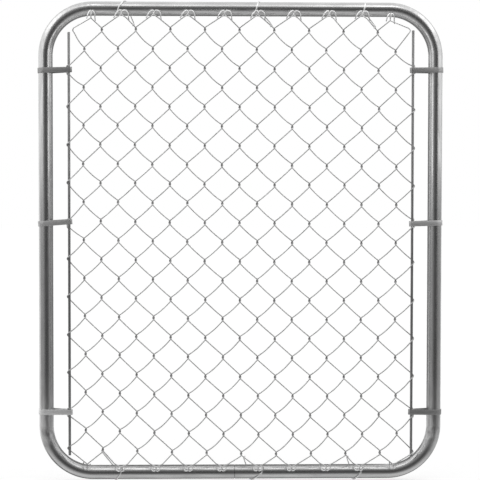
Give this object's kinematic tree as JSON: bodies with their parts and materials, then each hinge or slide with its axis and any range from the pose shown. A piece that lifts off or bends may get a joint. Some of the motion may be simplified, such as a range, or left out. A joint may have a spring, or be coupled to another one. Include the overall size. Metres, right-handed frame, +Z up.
{
  "type": "chain-link walk gate",
  "caption": "Bent round-tube gate frame with rounded corners, filled with woven chain-link fabric held by tension rods, straps and wire ties.",
  "frame": {"origin": "on the hinge stile's centreline, level with the underside of the bottom rail", "axes": "+X from the hinge stile to the latch stile, +Y from the fabric side to the back, +Z up"},
  "size_m": [0.9935, 0.0525, 1.179],
  "materials": {
    "galvanised_tube": "galvanised, semi-gloss, lightly streaked",
    "galvanised_wire": "galvanised wire, satin",
    "dull_rod": "dull grey steel",
    "dull_strap": "dull grey steel strip",
    "bright_tie": "bright wire"
  },
  "bodies": {
    "root": {"frame_tube": "galvanised_tube", "picket_01": "galvanised_wire", "picket_02": "galvanised_wire", "picket_03": "galvanised_wire", "picket_04": "galvanised_wire", "picket_05": "galvanised_wire", "picket_06": "galvanised_wire", "picket_07": "galvanised_wire", "picket_08": "galvanised_wire", "picket_09": "galvanised_wire", "picket_10": "galvanised_wire", "picket_11": "galvanised_wire", "picket_12": "galvanised_wire", "picket_13": "galvanised_wire", "picket_14": "galvanised_wire", "picket_15": "galvanised_wire", "picket_16": "galvanised_wire", "picket_17": "galvanised_wire", "picket_18": "galvanised_wire", "picket_19": "galvanised_wire", "picket_20": "galvanised_wire", "tension_rod_left": "dull_rod", "tension_rod_right": "dull_rod", "strap_left_top": "dull_strap", "strap_left_middle": "dull_strap", "strap_left_bottom": "dull_strap", "strap_right_top": "dull_strap", "strap_right_middle": "dull_strap", "strap_right_bottom": "dull_strap", "tie_top_left": "bright_tie", "tie_top_centre": "bright_tie", "tie_top_right": "bright_tie", "tie_bottom_left": "bright_tie", "tie_bottom_centre": "bright_tie", "tie_bottom_right": "bright_tie"}
  },
  "joints": []
}
